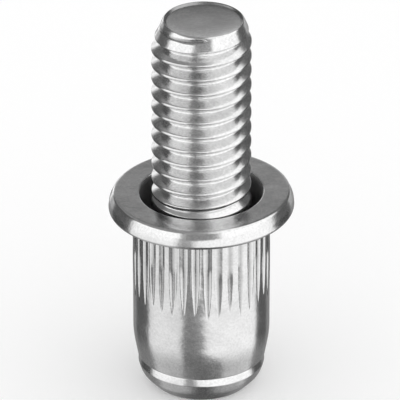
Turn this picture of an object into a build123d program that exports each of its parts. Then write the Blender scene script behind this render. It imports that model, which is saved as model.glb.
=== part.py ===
from build123d import *
import math
import os

os.makedirs("parts", exist_ok=True)

# Rivet nut with a fixed threaded stud, in millimetres, round the Z axis with the stud's head on z = 0.

# Stud: an M8 coarse thread, rolled a little under 8 mm as such threads are
total_height = 31.85
thread_pitch = 1.25
thread_nominal = 8.0
thread_diameter = 7.85
thread_start = 15.54
thread_chamfer_height = 1.75
thread_shoulder_radius = 3.45
thread_end_rounding = 0.4
thread_end_radius = 3.08
shank_diameter = 7.19
shank_top = 14.7
dish_radius = 3.03
dish_floor_radius = 2.9
dish_depth = 0.33
head_diameter = 10.06
head_height = 2.55
head_edge_radius = 1.8
head_top_radius = 4.94

# Sleeve: made for an 11 mm panel hole
body_diameter = 10.79
sleeve_length = 14.25
flange_diameter = 14.62
flange_thickness = 1.5
flange_face_radius = 7.02
flange_foot_radius = 7.18
rim_bulge_depth = 0.9
bore_diameter = 9.6
bore_edge_break = 0.18
collar_height = 4.95
collar_cone_height = 0.9
taper_height = 1.9
taper_end_radius = 5.04

# Pressed grooves that leave the ribs standing between them
groove_count = 36
groove_width = 0.62
groove_depth = 0.13
groove_length = 7.2
groove_run_out = 1.8
groove_phase = 2.5
sleeve_turn = 2.5

# The collar grips the plain shank under the thread, face to face
shank_radius = shank_diameter / 2
crest_radius = thread_diameter / 2
sleeve_foot = head_height
sleeve_top = sleeve_foot + sleeve_length
flange_underside = sleeve_top - flange_thickness


def turned(*edges):
    """The solid turned about the Z axis from a closed outline of radius and height."""
    return revolve(Plane.XZ * make_face(Curve() + edges), Axis.Z)


def make_sleeve_blank():
    """Flange, plain body, tapered lower end, collar and bore, before the grooves are pressed in."""
    body_radius = body_diameter / 2
    bore_radius = bore_diameter / 2
    collar_top = sleeve_foot + collar_height
    rim = ThreePointArc(
        (flange_foot_radius, flange_underside),
        (flange_diameter / 2, sleeve_top - rim_bulge_depth),
        (flange_face_radius, sleeve_top),
    )
    under_flange = Polyline(
        (shank_radius, sleeve_foot),
        (taper_end_radius, sleeve_foot),
        (body_radius, sleeve_foot + taper_height),
        (body_radius, flange_underside),
        (flange_foot_radius, flange_underside),
    )
    inside = Polyline(
        (flange_face_radius, sleeve_top),
        (bore_radius + bore_edge_break, sleeve_top),
        (bore_radius, sleeve_top - bore_edge_break),
        (bore_radius, collar_top + collar_cone_height),
        (shank_radius, collar_top),
        (shank_radius, sleeve_foot),
    )
    return turned(under_flange, rim, inside)


def make_groove():
    """One pressed groove on the +X side, of V section, running out to a point at its lower end."""
    outer = body_diameter / 2
    proud = 0.1
    half_width = groove_width / 2
    # The V is carried past the body so that its sides keep their slope
    carried = half_width * (groove_depth + proud) / groove_depth
    section = Plane.XY * make_face(
        Polyline(
            (outer - groove_depth, 0),
            (outer + proud, carried),
            (outer + proud, -carried),
            close=True,
        )
    )
    full_depth_height = flange_underside - groove_length + groove_run_out
    straight = extrude(Pos(0, 0, full_depth_height) * section, groove_length - groove_run_out)
    slope = Vector(groove_depth, 0, -groove_run_out)
    run_out = extrude(Pos(0, 0, full_depth_height) * section, slope.length, dir=slope)
    return straight + run_out


def make_sleeve():
    """The deforming sleeve with its ribbed zone under the flange, turned to its place on the stud."""
    grooves = PolarLocations(0, groove_count, start_angle=groove_phase) * make_groove()
    return Rot(0, 0, sleeve_turn) * (make_sleeve_blank() - grooves)


def make_head_and_shank():
    """Head with its rounded lower edge and slightly barrelled side, and the plain shank above."""
    head_radius = head_diameter / 2
    foot_radius = head_radius - head_edge_radius
    foot_edge = RadiusArc(
        (foot_radius, 0), (head_radius, head_edge_radius), -head_edge_radius
    )
    side = TangentArc(
        (head_radius, head_edge_radius), (head_top_radius, head_height), tangent=(0, 1)
    )
    top_and_shank = Polyline(
        (head_top_radius, head_height),
        (shank_radius, head_height),
        (shank_radius, shank_top),
        (0, shank_top),
        (0, 0),
        (foot_radius, 0),
    )
    return turned(foot_edge, side, top_and_shank)


def make_thread_envelope():
    """What the thread stays inside: a cone at its foot, a long chamfer with a rounded rim and a dish."""
    chamfer_foot = (crest_radius, total_height - thread_chamfer_height)
    shoulder = (thread_shoulder_radius, total_height - thread_end_rounding)
    foot_and_side = Polyline(
        (0, total_height - dish_depth),
        (0, shank_top),
        (shank_radius, shank_top),
        (crest_radius, shank_top + crest_radius - shank_radius),
        chamfer_foot,
        shoulder,
    )
    rim = TangentArc(
        shoulder,
        (thread_end_radius, total_height),
        tangent=Vector(*shoulder) - Vector(*chamfer_foot),
    )
    dish = Polyline(
        (thread_end_radius, total_height),
        (dish_radius, total_height),
        (dish_floor_radius, total_height - dish_depth),
        (0, total_height - dish_depth),
    )
    return turned(foot_and_side, rim, dish)


def make_groove_turn():
    """One right-hand turn of the thread's groove, a pitch wide less the crest flat."""
    nominal_radius = thread_nominal / 2
    flank_slope = math.tan(math.radians(30))
    root_radius = nominal_radius - 0.61343 * thread_pitch
    proud_radius = nominal_radius + 0.05
    half_mouth = 7 / 16 * thread_pitch
    half_root = half_mouth - (nominal_radius - root_radius) * flank_slope
    half_proud = half_mouth + (proud_radius - nominal_radius) * flank_slope
    section = Plane.XZ * make_face(
        Polyline(
            (root_radius, -half_root),
            (root_radius, half_root),
            (proud_radius, half_proud),
            (proud_radius, -half_proud),
            close=True,
        )
    )
    path = Helix(pitch=thread_pitch, height=thread_pitch, radius=root_radius)
    return sweep(section, path=path, is_frenet=True)


def make_threaded_bar():
    """A plain bar, longer than the thread, with turns of the groove cut end to end inside it."""
    turn_count = math.ceil((total_height - thread_start) / thread_pitch) + 1
    turns = [
        Pos(0, 0, thread_start + i * thread_pitch) * make_groove_turn()
        for i in range(turn_count)
    ]
    bar_foot = shank_top - thread_pitch
    bar_length = thread_start + (turn_count + 2) * thread_pitch - bar_foot
    bar = Cylinder(
        crest_radius, bar_length, align=(Align.CENTER, Align.CENTER, Align.MIN)
    )
    return Pos(0, 0, bar_foot) * bar - turns


def make_stud():
    """The threaded stud, whose head closes the blind end."""
    thread = make_threaded_bar() & make_thread_envelope()
    return make_head_and_shank() + thread


export_step(make_sleeve(), "parts/sleeve.step")
export_step(make_stud(), "parts/stud.step")
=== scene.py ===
import math

import bmesh
import bpy
import numpy as np
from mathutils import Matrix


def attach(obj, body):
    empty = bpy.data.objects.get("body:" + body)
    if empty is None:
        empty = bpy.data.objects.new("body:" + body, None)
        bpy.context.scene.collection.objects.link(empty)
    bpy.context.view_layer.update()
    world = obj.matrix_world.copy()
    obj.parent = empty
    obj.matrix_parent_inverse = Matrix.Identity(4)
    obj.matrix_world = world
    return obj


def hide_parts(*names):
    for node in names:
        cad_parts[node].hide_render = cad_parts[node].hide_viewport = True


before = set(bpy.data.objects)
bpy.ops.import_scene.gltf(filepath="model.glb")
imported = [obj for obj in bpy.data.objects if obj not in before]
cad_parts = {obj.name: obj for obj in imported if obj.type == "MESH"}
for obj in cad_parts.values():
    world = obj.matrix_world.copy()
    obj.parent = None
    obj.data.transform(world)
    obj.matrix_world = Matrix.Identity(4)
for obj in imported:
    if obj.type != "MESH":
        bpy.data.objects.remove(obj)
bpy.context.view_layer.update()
mm = 0.001  # sizes are written in millimetres, Blender works in metres
fullTurn = 2 * math.pi


class Flow:
    # A socket of a material on its way to the shader; sums on it add Math nodes

    def __init__(self, tree, socket=None):
        self.tree = tree
        self.socket = socket

    def add(self, kind, settings, values, output=0):
        node = self.tree.nodes.new(kind)
        for name, value in settings.items():
            setattr(node, name, value)
        for name, value in values.items():
            if isinstance(value, Flow):
                self.tree.links.new(value.socket, node.inputs[name])
            else:
                node.inputs[name].default_value = value
        return Flow(self.tree, node.outputs[output] if node.outputs else None)

    def sum(self, operation, first, second=0.0):
        return self.add("ShaderNodeMath", {"operation": operation}, {0: first, 1: second})

    def __add__(self, other):
        return self.sum("ADD", self, other)

    def __radd__(self, other):
        return self.sum("ADD", other, self)

    def __sub__(self, other):
        return self.sum("SUBTRACT", self, other)

    def __rsub__(self, other):
        return self.sum("SUBTRACT", other, self)

    def __mul__(self, other):
        return self.sum("MULTIPLY", self, other)

    def __rmul__(self, other):
        return self.sum("MULTIPLY", other, self)

    def ease(self, low, high, start=0.0, end=1.0):
        # Goes smoothly from start to end while this value goes from low to high
        return self.add(
            "ShaderNodeMapRange",
            {"interpolation_type": "SMOOTHSTEP"},
            {"Value": self, "From Min": low, "From Max": high, "To Min": start, "To Max": end},
        )

    def blend(self, first, second):
        # This value mixes two others: 0 gives the first, 1 the second
        return self.add("ShaderNodeMix", {"data_type": "FLOAT"}, {0: self, 2: first, 3: second})

    def tint(self, first, second):
        # This value mixes two colours
        return self.add("ShaderNodeMix", {"data_type": "RGBA"}, {0: self, 6: first, 7: second}, 2)


# Camera

view = {
    "distance": 600,
    "elevation": 28,
    "aim": (-0.11, 0, 15.97),
    "width": 31.43,  # seen across the picture at the aim point
}


def makeCamera():
    tilt = math.radians(view["elevation"])
    x, y, z = view["aim"]
    data = bpy.data.cameras.new("camera")
    data.lens = data.sensor_width * view["distance"] / view["width"]
    data.clip_end = 20
    camera = bpy.data.objects.new("camera", data)
    back = view["distance"] * math.cos(tilt)
    up = view["distance"] * math.sin(tilt)
    camera.location = (x * mm, (y - back) * mm, (z + up) * mm)
    camera.rotation_euler = (math.radians(90) - tilt, 0, 0)
    bpy.context.scene.collection.objects.link(camera)
    bpy.context.scene.camera = camera


makeCamera()
print("camera set")


# Shapes

def ramp(x, low, high):
    # Smooth step: 0 below low, 1 above high, 3t^2 - 2t^3 between them
    t = np.clip((x - low) / (high - low), 0, 1)
    return t * t * (3 - 2 * t)


def lesser(a, b, blend):
    # The lesser of two values, with the corner between them rounded over about the blend
    return (a + b - np.sqrt((a - b) ** 2 + blend ** 2)) / 2


def bentOutline(corners, closed, bendSteps=6):
    # Corners are radius, height, length cut off for the bend, and steps to the next corner.
    # Each bend is a parabola: both cut points and the corner, weighted (1-t)^2, t^2 and 2t(1-t).
    # Steps on a straight run crowd to its ends as (1 - cos(pi t)) / 2.
    table = np.array(corners, dtype=float)
    point = table[:, :2]
    cut = table[:, 2:3]
    before = np.roll(point, 1, 0) - point
    after = np.roll(point, -1, 0) - point
    start = point + before / np.linalg.norm(before, axis=1, keepdims=True) * cut
    end = point + after / np.linalg.norm(after, axis=1, keepdims=True) * cut
    t = np.linspace(0, 1, bendSteps)[None, :, None]
    bend = (1 - t) ** 2 * start[:, None] + 2 * t * (1 - t) * point[:, None] + t ** 2 * end[:, None]
    rows = []
    for i in range(len(corners)):
        rows.append(bend[i] if cut[i, 0] > 0 else point[i:i + 1])
        if closed or i < len(corners) - 1:
            following = start[(i + 1) % len(corners)]
            share = (1 - np.cos(np.linspace(0, math.pi, int(table[i, 3]) + 1)[1:-1])) / 2
            rows.append(end[i] + share[:, None] * (following - end[i]))
    return np.concatenate(rows)


def gridPiece(name, place, ringRows, ringColumns, material, marks):
    # One face for each cell of a grid of points; rows or columns that close on themselves wrap.
    # Marks are named values at the points, which the material reads.
    rows, columns = place.shape[:2]
    index = np.arange(rows * columns).reshape(rows, columns)
    nextRow = np.roll(index, -1, 0)
    nextColumn = np.roll(index, -1, 1)
    across = np.roll(nextRow, -1, 1)
    cells = np.stack([index, nextColumn, across, nextRow], -1)
    cells = cells[: rows if ringRows else rows - 1, : columns if ringColumns else columns - 1]
    mesh = bpy.data.meshes.new(name)
    mesh.from_pydata(place.reshape(-1, 3) * mm, [], cells.reshape(-1, 4))
    for mark, value in marks.items():
        mesh.attributes.new(mark, "FLOAT", "POINT").data.foreach_set("value", value.ravel())
    work = bmesh.new()
    work.from_mesh(mesh)
    bmesh.ops.remove_doubles(work, verts=work.verts, dist=0.0002 * mm)
    work.to_mesh(mesh)
    work.free()
    mesh.shade_smooth()
    mesh.materials.append(material)
    piece = bpy.data.objects.new(name, mesh)
    bpy.context.scene.collection.objects.link(piece)
    return piece


# Sleeve

sleeveForm = {
    "foot": 2.55,
    "top": 16.83,
    "body": 5.395,
    "taper": 1.9,
    "footRadius": 5.04,
    "shank": 3.595,
    "bore": 4.8,
    "boreEdge": 0.3,
    "collarTop": 7.5,
    "collarCone": 0.9,
    "bodyRows": [(7.6, 16), (9.6, 8), (11.4, 10), (12.8, 6)],  # height, and steps to the next
    "rimFoot": 7.2,
    "rimLow": (7.312, 15.58),
    "rimHigh": (7.25, 16.15),
    "rimTop": 6.93,
    "lean": 0.018,  # the flange's slope across
    "leanStart": 14.9,
    "leanFull": 15.6,
    "columns": 576,
}
grooveForm = {
    "count": 36,
    "top": 15.38,  # also the flange's underside
    "tip": 8.35,
    "pocketTop": 12.1,
    "halfWidth": 0.3,
    "upperDepth": 0.11,
    "pocketDepth": 0.17,
    "bow": 2.6,  # length over which the tip widens
    "lip": 0.02,
    "shiftSpread": (-0.05, 0.05),
    "tipSpread": (-0.35, 0.3),
    "pocketSpread": (-0.5, 0.4),
    "strengthSpread": (0.8, 1.15),
    "seed": 4,
}


def sleeveOutline():
    f = sleeveForm
    shoulder = f["foot"] + f["taper"]
    underside = grooveForm["top"]
    return bentOutline(
        [
            (f["shank"], f["foot"], 0, 4),
            (f["footRadius"], f["foot"], 0.1, 6),
            (f["body"], shoulder, 0.75, 5),
            *[(f["body"], height, 0, steps) for height, steps in f["bodyRows"]],
            (f["body"], underside, 0.08, 4),
            (f["rimFoot"], underside, 0.1, 2),
            (*f["rimLow"], 0.1, 2),
            (*f["rimHigh"], 0.2, 3),
            (f["rimTop"], f["top"], 0.2, 6),
            (f["bore"] + 0.1, f["top"], 0.1, 2),
            (f["bore"], f["top"] - f["boreEdge"], 0.1, 8),
            (f["bore"], f["collarTop"] + f["collarCone"], 0.2, 3),
            (f["shank"], f["collarTop"], 0, 5),
        ],
        closed=True,
    )


def grooveDepth(angle, height):
    # Each groove has its own place, tip and pocket. Its depth falls from the middle line to the
    # edge as 1.015 - sqrt(x^2 + 0.03), with x the distance over the half width. The pocket
    # narrows to its tip like a boat's bow, and the metal pushed aside stands as a low lip. The
    # second value is painted shade: it darkens the groove's colour where shadow falls in it.
    f = grooveForm
    chance = np.random.default_rng(f["seed"])
    count = f["count"]
    turn = (angle / fullTurn * count - 0.5) % count
    nearest = np.floor(turn + 0.5)
    which = nearest.astype(int) % count
    shift = chance.uniform(*f["shiftSpread"], count)[which]
    tip = f["tip"] + chance.uniform(*f["tipSpread"], count)[which]
    pocket = f["pocketTop"] + chance.uniform(*f["pocketSpread"], count)[which]
    strength = chance.uniform(*f["strengthSpread"], count)[which]
    away = (turn - nearest - shift) * fullTurn / count * sleeveForm["body"]
    bow = np.sqrt(np.clip((height - tip) / f["bow"], 0, 1))
    inPocket = 1 - ramp(height, pocket - 0.5, pocket + 0.6)
    width = f["halfWidth"] * bow * (1 - 0.12 * inPocket)
    depth = strength * (f["upperDepth"] + (f["pocketDepth"] - f["upperDepth"]) * inPocket) * bow
    x = np.abs(away) / np.maximum(width, 0.02)
    valley = np.clip(1.015 - np.sqrt(x ** 2 + 0.03), 0, 1)
    lip = f["lip"] * np.exp(-((x - 1.12) / 0.22) ** 2) * bow * (0.4 + 0.6 * inPocket)
    belowTop = 1 - ramp(height, f["top"] - 0.03, f["top"])
    reach = ramp(height, tip - 0.1, tip + 0.05) * belowTop
    # Painted shade: the groove's colour darkens towards its middle, where shadow falls, more so in
    # the pocket
    paintedShade = valley ** 1.5 * reach * (0.8 + 0.2 * inPocket)
    return (depth * valley - lip) * reach, paintedShade


def makeSleeve(material):
    f = sleeveForm
    outline = sleeveOutline()
    angle = np.arange(f["columns"]) / f["columns"] * fullTurn
    radius = np.repeat(outline[:, :1], f["columns"], 1)
    height = np.repeat(outline[:, 1:], f["columns"], 1)
    turn = np.broadcast_to(angle, radius.shape)
    onBody = np.abs(radius - f["body"]) < 0.001
    depth, paintedShade = grooveDepth(turn, height)
    radius = radius - onBody * depth
    lean = f["lean"] * radius * np.cos(turn) * ramp(height, f["leanStart"], f["leanFull"])
    place = np.stack([radius * np.cos(turn), radius * np.sin(turn), height + lean], -1)
    # The bore's mark: the material roughens it and darkens its colour as painted shade
    inside = 1 - ramp(radius, f["bore"] + 0.02, f["bore"] + 0.12)
    # The grooves' painted shade goes to the material as a mark, on the body only
    marks = {"paintedShade": onBody * paintedShade, "inside": inside}
    piece = gridPiece("sleeveDressed", place, True, True, material, marks)
    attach(piece, "root")
    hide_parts("sleeve")


# Stud

studForm = {
    "top": 31.85,
    "pitch": 1.25,
    "start": 15.63,
    "crest": 3.925,
    "root": 3.19,
    "shank": 3.595,
    "threadFoot": 14.7,
    "runOut": 31.56,  # height of the groove's middle where the groove ends
    "swelling": 4.1,  # before the chamfer's line cuts it to 3.95
    "swellingFoot": 14.8,
    "swellingTop": 16.24,
    "chamferFoot": 30,
    "chamferDrop": 0.77,
    "rimDrop": 0.06,
    "tipShift": 0.17,  # the end stands off the axis by this
    "shiftStart": 29.6,
    "shiftFull": 30.8,
    "columns": 144,
    # Climb of the grid's rows over half a pitch, from the groove's middle to past the crest
    "halfPitch": [
        0, 0.04, 0.08, 0.12, 0.16, 0.22, 0.29, 0.36, 0.42, 0.46, 0.485, 0.505, 0.525, 0.56, 0.6
    ],
    # Head: radius, height, bend, and steps to the next corner
    "head": [(3.74, 0, 0.3, 3), (4.76, 1.1, 0.35, 3), (5.0, 1.9, 0.06, 3), (4.94, 2.55, 0.07, 4)],
    "headTop": 2.55,
    # End: share of the rim's radius, and depth under the top
    "end": [
        (0.992, 0.03), (0.985, 0.008), (0.978, 0), (0.97, 0.01), (0.962, 0.03), (0.952, 0.08),
        (0.942, 0.13), (0.932, 0.17), (0.92, 0.19), (0.9, 0.2), (0.8, 0.23), (0.6, 0.27),
        (0.3, 0.3), (0, 0.31),
    ],
    "wallRows": (3, 9),  # those rows of the end that make its steep wall
    # painted shade on the end's steep wall
    "wallPaintedShade": 0.9,
}


def threadRadius(angle, height):
    # The distance along the axis from the nearest groove's middle, less half the root's width,
    # over tan 30 degrees, gives the flank; root and crest cut it off with rounded corners.
    # The groove runs out where its middle climbs past the run-out height.
    f = studForm
    phase = (height - f["start"]) / f["pitch"] - angle / fullTurn
    away = np.abs(phase - np.round(phase)) * f["pitch"]
    flank = f["root"] + (away - 0.104) / math.tan(math.radians(30))
    rounded = -lesser(-flank, -f["root"], 0.045)
    middle = f["start"] + (np.round(phase) + angle / fullTurn) * f["pitch"]
    ended = ramp(middle, f["runOut"], f["runOut"] + 0.12)
    return lesser(rounded + ended * (f["crest"] - f["root"]), f["crest"], 0.03)


def studSurface():
    # Radius, height, angle and the painted shadow of the last groove, on a grid that climbs one
    # pitch a turn between the thread's ends, and stays level below and above them
    f = studForm
    angle = np.linspace(0, fullTurn, f["columns"] + 1)
    half = np.array(f["halfPitch"])
    step = np.concatenate([half, f["pitch"] - half[:0:-1]])
    turns = math.ceil((f["top"] - f["threadFoot"]) / f["pitch"]) + 2
    base = f["start"] + (np.arange(turns) - 2) * f["pitch"]
    level = (base[:, None] + step).ravel()
    low = f["threadFoot"]
    high = f["top"] - 0.06
    height = np.clip(level[:, None] + f["pitch"] * angle / fullTurn, low, high)
    turn = np.broadcast_to(angle, height.shape)
    fade = ramp(height, low + 0.1, low + 1.3)
    radius = f["shank"] + (threadRadius(turn, height) - f["shank"]) * fade
    # A swelling closes the lowest groove: it rises from the shank, stays level and slopes back.
    # The chamfer's line, which comes after it, cuts its top off at 3.95 mm.
    rising = f["shank"] + (height - f["swellingFoot"]) * 0.8
    falling = f["swelling"] + f["swellingTop"] - height
    swelling = lesser(lesser(rising, falling, 0.08), f["swelling"], 0.08)
    radius = -lesser(-radius, -swelling, 0.05)
    # The chamfer falls as u and its rim rounds off as u^20, u being the way up it
    climb = np.clip((height - f["chamferFoot"]) / (f["top"] - f["chamferFoot"]), 0, 1)
    chamfer = f["crest"] + 0.025 - f["chamferDrop"] * climb - f["rimDrop"] * climb ** 20
    edge = f["tipShift"] * ramp(height, f["shiftStart"], f["shiftFull"]) * np.cos(turn)
    radius = lesser(radius, chamfer + edge, 0.03)
    # Painted shadow in the last groove, where it runs out under the chamfer near the top
    lastGrooveShadow = ramp(chamfer + edge - radius, 0.02, 0.1) * ramp(height, 30.9, 31.2)
    return radius, height, turn, lastGrooveShadow


def makeStud(material):
    f = studForm
    lower = bentOutline(
        [
            (0, 0, 0, 5),
            *f["head"],
            (f["shank"], f["headTop"], 0, 6),
            (f["shank"], f["threadFoot"], 0, 1),
        ],
        closed=False,
    )
    radius, height, turn, lastGrooveShadow = studSurface()
    columns = f["columns"] + 1
    level = np.repeat(lower[:-1, 1:], columns, 1)
    flat = np.repeat(lower[:-1, :1], columns, 1)
    ring = np.broadcast_to(turn[:1], flat.shape)
    bottom = np.stack([flat * np.cos(ring), flat * np.sin(ring), level], -1)
    middle = np.stack([radius * np.cos(turn), radius * np.sin(turn), height], -1)

    # The end shrinks from the thread's last ring towards its own centre: a narrow rim, a steep
    # wall, and a floor that sinks towards its middle
    shape = np.array(f["end"])
    share = shape[:, :1]
    sink = np.repeat(shape[:, 1:], columns, 1)
    shift = f["tipShift"]
    endX = shift + share * (middle[-1:, :, 0] - shift)
    endY = share * middle[-1:, :, 1]
    end = np.stack([endX, endY, f["top"] - sink], -1)

    place = np.concatenate([bottom, middle, end])
    # Painted shade: the last groove's shadow and the end's steep wall darken the colour
    paintedShade = np.zeros(place.shape[:2])
    endStart = len(bottom) + len(middle)
    paintedShade[len(bottom):endStart] = lastGrooveShadow
    paintedShade[endStart + f["wallRows"][0]:endStart + f["wallRows"][1]] = f["wallPaintedShade"]
    marks = {"paintedShade": paintedShade, "inside": 0 * paintedShade}
    piece = gridPiece("studDressed", place, False, False, material, marks)
    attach(piece, "root")
    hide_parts("stud")


# Zinc plating

zinc = {
    "cloudScale": 420,
    "grainScale": 5200,
    # Painted shade: the colour for the marked grooves and wall, and the colour and strength for the
    # bore
    "paintedShadeColour": (0.2, 0.2, 0.2, 1),
    "borePaintedShade": 0.45,
    "borePaintedShadeColour": (0.1, 0.1, 0.1, 1),
    "boreRoughness": 0.4,
    "dentHeight": 0.04 * mm,
    "grainHeight": 0.004 * mm,
}


def makeZinc(name, look):
    # Clouds and a fine grain vary the colour and the roughness. One mark darkens the grooves,
    # the stud's last groove and its end wall as painted shade, and roughens them a little; the
    # other roughens the bore and darkens it as painted shade.
    material = bpy.data.materials.new(name)
    material.use_nodes = True
    tree = material.node_tree
    tree.nodes.clear()
    flow = Flow(tree)
    place = flow.add("ShaderNodeTexCoord", {}, {}, "Object")
    cloud = flow.add(
        "ShaderNodeTexNoise",
        {},
        {"Vector": place, "Scale": zinc["cloudScale"], "Detail": 4},
    )
    grain = flow.add(
        "ShaderNodeTexNoise",
        {},
        {"Vector": place, "Scale": zinc["grainScale"], "Detail": 3},
    )
    shade = cloud * 0.5 + grain * 0.5
    paintedShade = flow.add("ShaderNodeAttribute", {"attribute_name": "paintedShade"}, {}, "Fac")
    colour = shade.ease(0.35, 0.68).tint(look["dull"], look["bright"])
    # Painted shade: the marked grooves and wall take on a dark grey
    colour = (paintedShade * look["paintedShadeStrength"]).tint(colour, zinc["paintedShadeColour"])
    inside = flow.add("ShaderNodeAttribute", {"attribute_name": "inside"}, {}, "Fac")
    rough = look["roughness"] + (cloud - 0.5) * 0.12 + (grain - 0.5) * 0.1
    rough = rough + paintedShade * 0.1 + inside * zinc["boreRoughness"]
    # Painted shade: the bore's colour darkens towards a dark grey
    colour = (inside * zinc["borePaintedShade"]).tint(colour, zinc["borePaintedShadeColour"])
    dent = flow.add(
        "ShaderNodeBump",
        {},
        {"Strength": look["dent"], "Distance": zinc["dentHeight"], "Height": cloud},
    )
    bump = flow.add(
        "ShaderNodeBump",
        {},
        {
            "Strength": look["grain"],
            "Distance": zinc["grainHeight"],
            "Height": grain,
            "Normal": dent,
        },
    )
    surface = flow.add(
        "ShaderNodeBsdfPrincipled",
        {},
        {"Base Color": colour, "Metallic": 1.0, "Roughness": rough, "Normal": bump},
    )
    flow.add("ShaderNodeOutputMaterial", {}, {"Surface": surface})
    return material


sleeveLook = {
    "bright": (0.80, 0.80, 0.80, 1),
    "dull": (0.68, 0.68, 0.68, 1),
    "roughness": 0.19,
    "dent": 1.2,
    "grain": 0.3,
    # how strongly the grooves' painted shade darkens the colour
    "paintedShadeStrength": 0.75,
}
studLook = {
    "bright": (0.84, 0.84, 0.84, 1),
    "dull": (0.69, 0.69, 0.69, 1),
    "roughness": 0.2,
    "dent": 0.5,
    "grain": 0.6,
    # how strongly the grooves' painted shade darkens the colour
    "paintedShadeStrength": 0.8,
}

makeSleeve(makeZinc("zincSleeve", sleeveLook))
print("sleeve made")
makeStud(makeZinc("zincStud", studLook))
print("stud made")


# Studio

studio = {
    "floorSize": 1200,
    "wall": 1.24,
    "lowWall": 0.56,
    "upperWall": 1.45,
    "ceilingLeft": 0.34,
    "ceilingRight": 1.25,
    "stripLow": 0.18,
    "stripMiddle": 0.38,
    "stripHigh": 0.28,
    "side": 0.12,
    "back": 0.58,
    "backLow": 0.28,
    "backHigh": 0.13,
    "backAside": 0.12,
    "edgeLight": 1.3,
    "groundNear": 0.1,
    "groundFar": 0.36,
}


def makeFloor():
    half = studio["floorSize"] / 2 * mm
    mesh = bpy.data.meshes.new("floor")
    corners = [(-half, -half, 0), (half, -half, 0), (half, half, 0), (-half, half, 0)]
    mesh.from_pydata(corners, [], [(0, 1, 2, 3)])
    material = bpy.data.materials.new("floor")
    material.use_nodes = True
    tree = material.node_tree
    tree.nodes.clear()
    flow = Flow(tree)
    glossy = flow.add("ShaderNodeLightPath", {}, {}, "Is Glossy Ray")
    matt = flow.add("ShaderNodeBsdfDiffuse", {}, {"Color": (1, 1, 1, 1)})
    clear = flow.add("ShaderNodeBsdfTransparent", {}, {})
    shader = flow.add("ShaderNodeMixShader", {}, {0: glossy, 1: matt, 2: clear})
    flow.add("ShaderNodeOutputMaterial", {}, {"Surface": shader})
    mesh.materials.append(material)
    floor = bpy.data.objects.new("floor", mesh)
    bpy.context.scene.collection.objects.link(floor)


def makeStudio():
    # White all round for the eye and the floor. Metal sees a room: walls of light in front, a dark
    # strip between them, dark sides and a grey back wall. x runs right, y back, z up.
    world = bpy.data.worlds.new("studio")
    world.use_nodes = True
    bpy.context.scene.world = world
    world.cycles.sampling_method = "NONE"
    tree = world.node_tree
    tree.nodes.clear()
    flow = Flow(tree)
    way = flow.add("ShaderNodeTexCoord", {}, {}, "Generated")
    x = flow.add("ShaderNodeSeparateXYZ", {}, {"Vector": way}, "X")
    y = Flow(tree, x.socket.node.outputs["Y"])
    z = Flow(tree, x.socket.node.outputs["Z"])
    aside = x.sum("ABSOLUTE", x)

    # Front walls, brighter upwards, and a ceiling that is bright on the right only
    lowLeft = x.ease(-0.4, 0.2, 0.16, 0.0) * z.ease(-0.4, -0.2, 1.0, 0.0)
    wall = z.ease(-0.8, -0.38, studio["lowWall"], studio["wall"]) * (1.0 - lowLeft)
    light = z.ease(0.2, 0.4).blend(wall, studio["upperWall"])
    ceiling = x.ease(-0.05, 0.32, studio["ceilingLeft"], studio["ceilingRight"])
    light = z.ease(0.49, 0.56).blend(light, ceiling)

    # The dark strip: its left and right edges shift with height
    left = z.ease(-0.75, -0.5, -0.4, -0.47) + z.ease(0.2, 0.35, 0.0, 0.07)
    right = z.ease(-0.7, -0.48, 0.47, 0.06) + z.ease(-0.48, -0.36, 0.0, -0.22)
    right = right + z.ease(0.06, 0.26, 0.0, 0.5)
    strip = (x - left).ease(-0.05, 0.05) * (right - x).ease(-0.07, 0.07)
    strip = strip * z.ease(0.5, 0.62, 1.0, 0.0)
    stripLight = z.ease(-0.6, -0.3, studio["stripLow"], studio["stripMiddle"])
    light = strip.blend(light, z.ease(0.15, 0.3).blend(stripLight, studio["stripHigh"]))

    # Dark sides: they start further back on the right, and there still further back higher up
    leftStart = z.ease(-0.4, -0.2, 0.15, 0.06)
    rightStart = z.ease(-0.42, -0.3, 0.24, 0.1) + z.ease(0.1, 0.8, 0.0, 0.42)
    sideStart = x.ease(-0.05, 0.05).blend(leftStart, rightStart)
    sideLight = studio["side"] + z.ease(0.5, 0.7, 0.0, 0.2) * x.ease(-0.25, -0.1, 1.0, 0.0)
    sideLight = sideLight * z.ease(-0.3, -0.1, 0.65, 1.0) + z.ease(-0.62, -0.42, 0.15, 0.0)
    light = (y - sideStart).ease(-0.05, 0.05).blend(light, sideLight)

    # Back wall, with two lights on its left that the object's left edges and rims catch
    back = z.ease(-0.4, -0.1, studio["backLow"], studio["back"])
    back = z.ease(0.1, 0.7).blend(back, studio["backHigh"])
    back = (aside.ease(0.17, 0.42) * z.ease(-0.1, 0.2)).blend(back, studio["backAside"])
    back = back + z.ease(0.42, 0.6) * x.ease(-0.32, -0.15, 0.2, 0.0)
    light = y.ease(0.66, 0.74).blend(light, back)
    backLight = y.ease(0.84, 0.89) * x.ease(-0.34, -0.3, 1.0, 0.0) * z.ease(0.24, 0.34, 1.0, 0.0)
    rimLight = y.ease(0.93, 0.98) * x.ease(-0.06, 0.0, 1.0, 0.0)
    light = backLight.sum("MAXIMUM", backLight, rimLight).blend(light, studio["edgeLight"])

    # Ground, darkest right under the object
    under = (x - 0.03).sum("ABSOLUTE", x - 0.03)
    ground = under.ease(0.05, 0.4, studio["groundNear"], studio["groundFar"])
    ground = ground + x.ease(-0.4, -0.1, 0.12, 0.0)
    light = z.ease(-0.82, -0.77, 1.0, 0.0).blend(light, ground)

    glossy = flow.add("ShaderNodeLightPath", {}, {}, "Is Glossy Ray")
    strength = glossy.blend(1.0, light)
    background = flow.add("ShaderNodeBackground", {}, {"Color": (1, 1, 1, 1), "Strength": strength})
    flow.add("ShaderNodeOutputWorld", {}, {"Surface": background})


makeFloor()
makeStudio()
print("studio made")

bpy.context.scene.view_settings.view_transform = "Standard"
